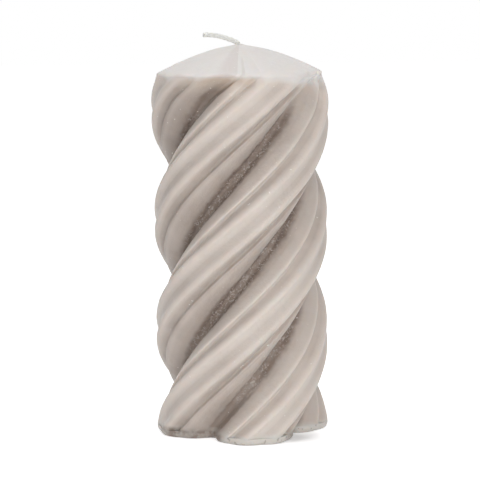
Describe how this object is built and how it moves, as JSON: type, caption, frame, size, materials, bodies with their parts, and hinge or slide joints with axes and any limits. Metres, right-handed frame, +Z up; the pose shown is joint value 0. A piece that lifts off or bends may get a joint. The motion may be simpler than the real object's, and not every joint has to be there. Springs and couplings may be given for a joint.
{
  "type": "twisted pillar candle",
  "caption": "Pillar candle with deep fluted lobes that wind up to a low domed top, with a braided wick bent to one side.",
  "frame": {"origin": "on the candle's axis, at the middle of the flat base it stands on", "axes": "+Z up the candle's axis towards the wick, -Y towards the side that the picture shows, -X the side the wick leans to"},
  "size_m": [0.0862, 0.0862, 0.1948],
  "materials": {
    "wax": "greige wax, satin, translucent at thin edges",
    "foot_wax": "greige wax, poured second, slightly glossier",
    "wick_cotton": "braided primed cotton",
    "tinned_steel": "tinned sheet steel"
  },
  "bodies": {
    "root": {"wax_body": "wax", "foot_pour": "foot_wax", "wick": "wick_cotton", "wick_sustainer": "tinned_steel"}
  },
  "joints": []
}
